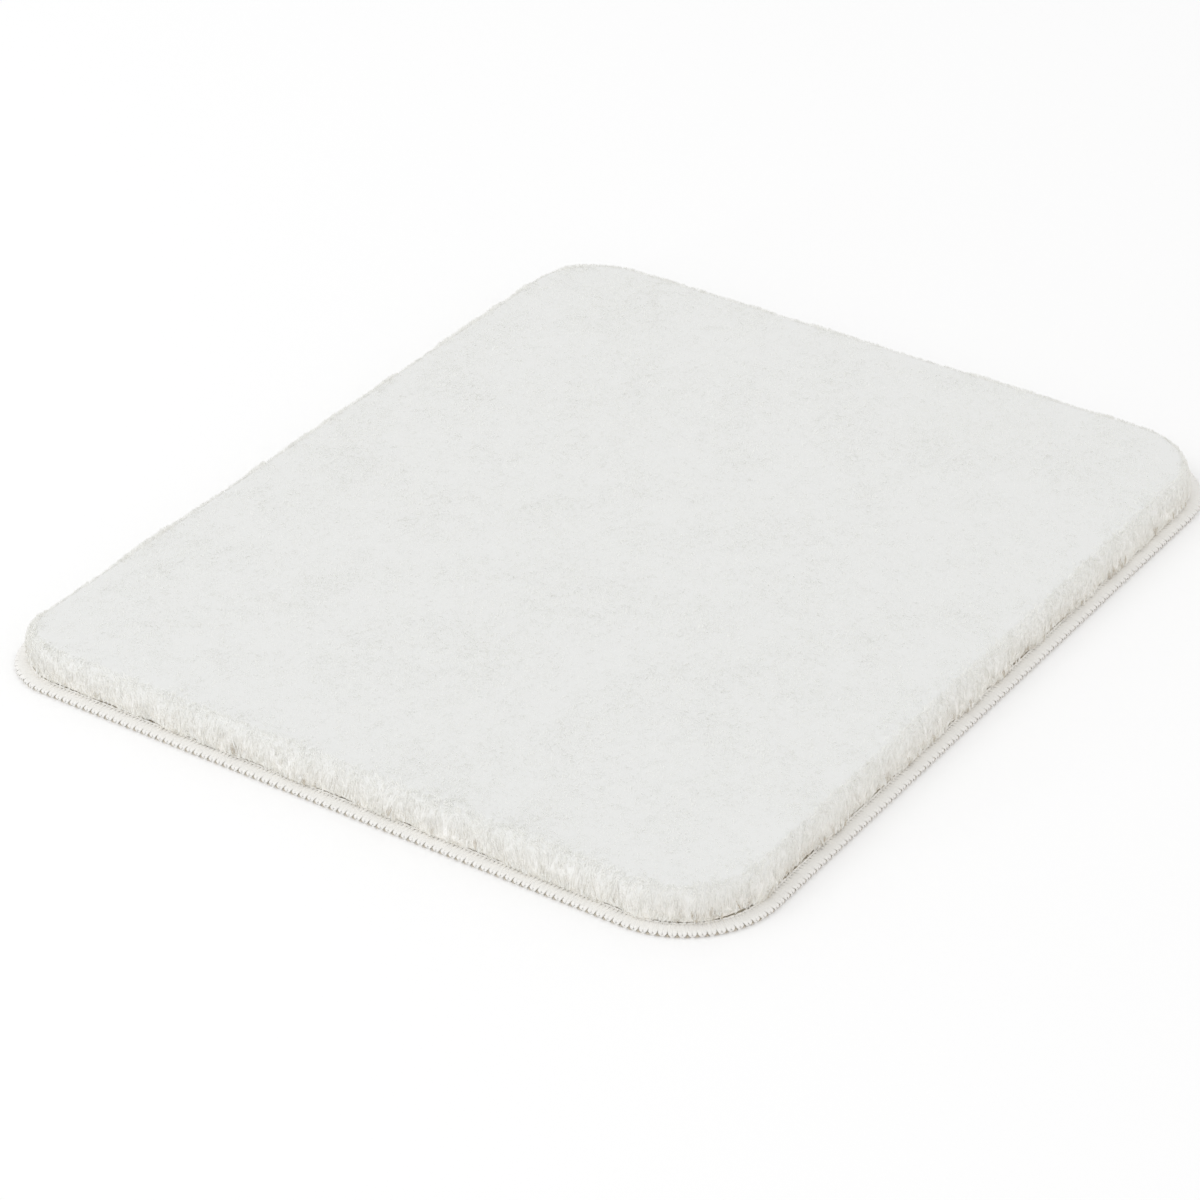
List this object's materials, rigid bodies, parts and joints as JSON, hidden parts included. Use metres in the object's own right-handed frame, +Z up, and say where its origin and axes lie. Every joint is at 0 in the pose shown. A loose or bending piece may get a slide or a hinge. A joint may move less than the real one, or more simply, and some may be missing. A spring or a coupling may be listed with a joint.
{
  "type": "bath mat",
  "caption": "Flat rectangular mat with rounded corners: a deep dense cut pile that fans out and rounds over at its rim, above a thin overlocked edge band and an anti-slip underside.",
  "frame": {"origin": "centre of the mat's outline, on the floor that its underside lies on", "axes": "+X across the short side, +Y along the long side, +Z up through the pile; the tighter corner is at -X, -Y"},
  "size_m": [0.5, 0.6, 0.025],
  "materials": {
    "pile_yarn": "off-white microfibre cut pile, soft and matt, warmer in its depth",
    "backing_weave": "plain-woven undyed carrier cloth",
    "latex": "off-white matt latex coat with rows of low round dots underneath",
    "binding_thread": "cream textured polyester thread, faintly glossy"
  },
  "bodies": {
    "root": {"pile": "pile_yarn", "backing_cloth": "backing_weave", "anti_slip_coat": "latex", "overlock_upper_thread": "binding_thread", "overlock_lower_thread": "binding_thread", "needle_thread": "binding_thread"}
  },
  "joints": []
}
